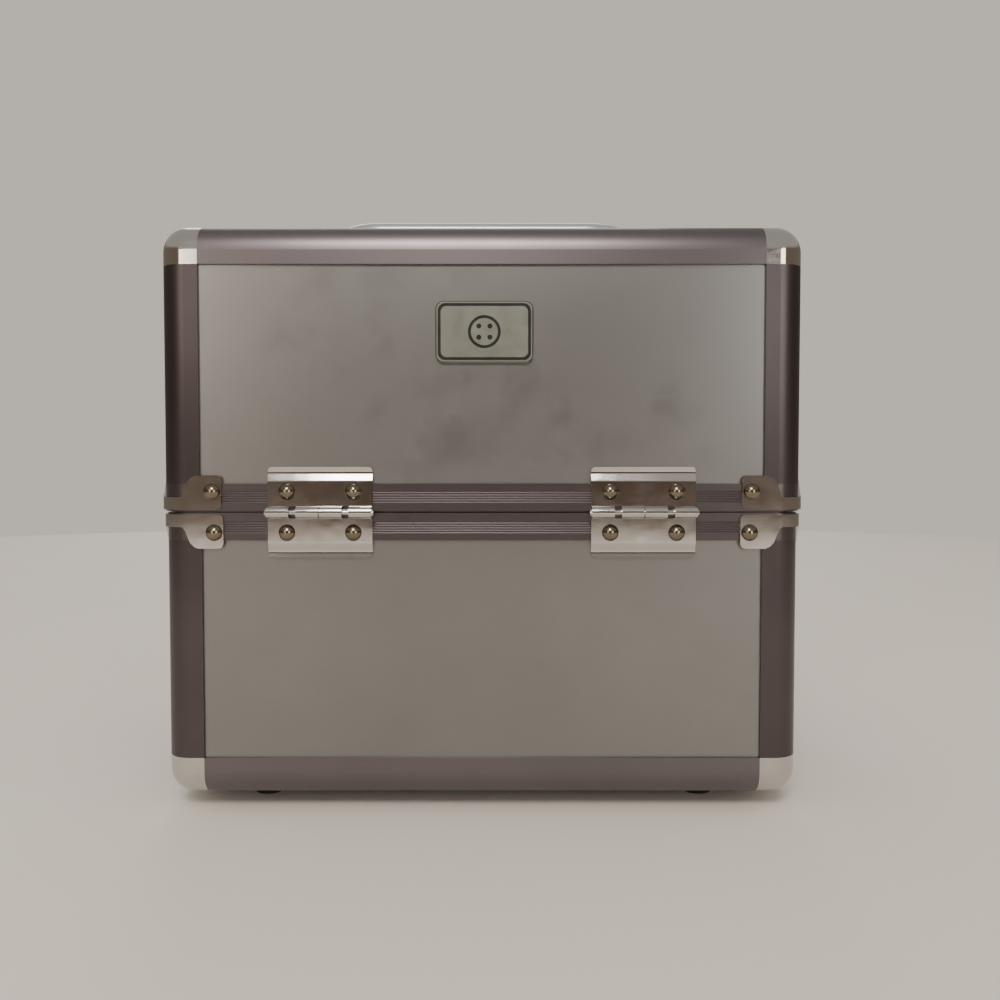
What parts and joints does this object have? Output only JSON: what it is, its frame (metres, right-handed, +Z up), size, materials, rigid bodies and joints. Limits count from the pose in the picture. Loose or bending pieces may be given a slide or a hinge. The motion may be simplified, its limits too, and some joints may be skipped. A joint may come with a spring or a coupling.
{
  "type": "sewing box with trays",
  "caption": "Hard-shell carrying case with metal edges and corners, a deep hinged lid, front locks, a folding top handle and lid-lifted compartment trays.",
  "frame": {"origin": "on the ground under the middle of the case, at the bottom of the feet", "axes": "+Z up, locks face -Y, hinges face +Y, +X to the right of someone facing the locks"},
  "size_m": [0.2518, 0.1903, 0.2361],
  "materials": {
    "anodised_aluminium": "satin anodised",
    "laminated_board": "hairline metallic laminate on board",
    "lining_fabric": "flocked",
    "tray_plastic": "moulded, fine texture",
    "zinc_steel": "zinc plated",
    "handle_plastic": "silver lacquer",
    "foot_rubber": "matte",
    "badge_aluminium": "satin",
    "satin_nickel": "satin nickel plated",
    "chromed_steel": "bright chrome plated"
  },
  "bodies": {
    "base": {"base_corner_caps": "chromed_steel", "base_corner_posts": "anodised_aluminium", "base_edge_mouldings": "anodised_aluminium", "base_lining": "lining_fabric", "base_panel_bottom": "laminated_board", "base_panel_front": "laminated_board", "base_panel_left": "laminated_board", "base_panel_rear": "laminated_board", "base_panel_right": "laminated_board", "base_rim_brackets": "chromed_steel", "base_rim_front": "anodised_aluminium", "base_rim_left": "anodised_aluminium", "base_rim_rear": "anodised_aluminium", "base_rim_right": "anodised_aluminium", "base_rivets": "chromed_steel", "feet": "foot_rubber", "foot_rivets": "chromed_steel", "hinge_leaf_base_left": "chromed_steel", "hinge_leaf_base_right": "chromed_steel", "hinge_pins": "zinc_steel", "lock_case_left": "chromed_steel", "lock_case_right": "chromed_steel", "tray_plate_base_left": "zinc_steel", "tray_plate_base_right": "zinc_steel"},
    "lid": {"badge": "badge_aluminium", "handle_mount_left": "chromed_steel", "handle_mount_right": "chromed_steel", "handle_rivets": "chromed_steel", "hinge_leaf_lid_left": "chromed_steel", "hinge_leaf_lid_right": "chromed_steel", "lid_corner_caps": "chromed_steel", "lid_corner_posts": "anodised_aluminium", "lid_edge_mouldings": "anodised_aluminium", "lid_lining": "lining_fabric", "lid_panel_front": "laminated_board", "lid_panel_left": "laminated_board", "lid_panel_rear": "laminated_board", "lid_panel_right": "laminated_board", "lid_panel_top": "laminated_board", "lid_rim_brackets": "chromed_steel", "lid_rim_front": "anodised_aluminium", "lid_rim_left": "anodised_aluminium", "lid_rim_rear": "anodised_aluminium", "lid_rim_right": "anodised_aluminium", "lid_rivets": "chromed_steel", "lock_catch_left": "chromed_steel", "lock_catch_right": "chromed_steel", "tray_plate_lid_left": "zinc_steel", "tray_plate_lid_right": "zinc_steel"},
    "handle": {"handle": "handle_plastic"},
    "key_barrel_left": {"key_barrel_left": "satin_nickel"},
    "key_barrel_right": {"key_barrel_right": "satin_nickel"},
    "lock_slider_left": {"lock_slider_left": "satin_nickel"},
    "lock_slider_right": {"lock_slider_right": "satin_nickel"},
    "tray_arm_lower_left": {"tray_arm_lower_left": "zinc_steel"},
    "tray_arm_lower_right": {"tray_arm_lower_right": "zinc_steel"},
    "tray_arm_upper_left": {"tray_arm_upper_left": "zinc_steel"},
    "tray_arm_upper_right": {"tray_arm_upper_right": "zinc_steel"},
    "tray_lower": {"tray_lower": "tray_plastic"},
    "tray_upper": {"tray_upper": "tray_plastic"}
  },
  "joints": [
    {"name": "lid_hinge", "type": "hinge", "parent": "base", "child": "lid", "pos_m": [0, 0.09275, 0.116], "axis": [-1, 0, 0], "range_deg": [0, 95]},
    {"name": "handle_fold", "type": "hinge", "parent": "lid", "child": "handle", "pos_m": [0, 0, 0.2308], "axis": [1, 0, 0], "range_deg": [0, 180]},
    {"name": "tray_upper_swing", "type": "hinge", "parent": "lid", "child": "tray_upper", "pos_m": [0, 0.01675, 0.144], "axis": [-1, 0, 0], "range_deg": [-95, 0]},
    {"name": "tray_lower_swing", "type": "hinge", "parent": "lid", "child": "tray_lower", "pos_m": [0, 0.04675, 0.122], "axis": [-1, 0, 0], "range_deg": [-95, 0]},
    {"name": "lock_slide_left", "type": "slide", "parent": "base", "child": "lock_slider_left", "axis": [-1, 0, 0], "range_m": [0, 0.003]},
    {"name": "key_turn_left", "type": "hinge", "parent": "base", "child": "key_barrel_left", "pos_m": [-0.0614, -0.092, 0.1005], "axis": [0, -1, 0], "range_deg": [0, 90]},
    {"name": "arm_upper_left_swing", "type": "hinge", "parent": "base", "child": "tray_arm_upper_left", "pos_m": [0, 0.03275, 0.1105], "axis": [-1, 0, 0], "range_deg": [0, 95]},
    {"name": "arm_lower_left_swing", "type": "hinge", "parent": "base", "child": "tray_arm_lower_left", "pos_m": [0, -0.00725, 0.104], "axis": [-1, 0, 0], "range_deg": [0, 95]},
    {"name": "lock_slide_right", "type": "slide", "parent": "base", "child": "lock_slider_right", "axis": [-1, 0, 0], "range_m": [0, 0.003]},
    {"name": "key_turn_right", "type": "hinge", "parent": "base", "child": "key_barrel_right", "pos_m": [0.0614, -0.092, 0.1005], "axis": [0, -1, 0], "range_deg": [0, 90]},
    {"name": "arm_upper_right_swing", "type": "hinge", "parent": "base", "child": "tray_arm_upper_right", "pos_m": [0, 0.03275, 0.1105], "axis": [-1, 0, 0], "range_deg": [0, 95]},
    {"name": "arm_lower_right_swing", "type": "hinge", "parent": "base", "child": "tray_arm_lower_right", "pos_m": [0, -0.00725, 0.104], "axis": [-1, 0, 0], "range_deg": [0, 95]}
  ],
  "couplings": [
    {"joint": "tray_upper_swing", "follows": "lid_hinge", "ratio": -1},
    {"joint": "tray_lower_swing", "follows": "lid_hinge", "ratio": -1},
    {"joint": "arm_upper_left_swing", "follows": "lid_hinge", "ratio": 1},
    {"joint": "arm_lower_left_swing", "follows": "lid_hinge", "ratio": 1},
    {"joint": "arm_upper_right_swing", "follows": "lid_hinge", "ratio": 1},
    {"joint": "arm_lower_right_swing", "follows": "lid_hinge", "ratio": 1}
  ]
}
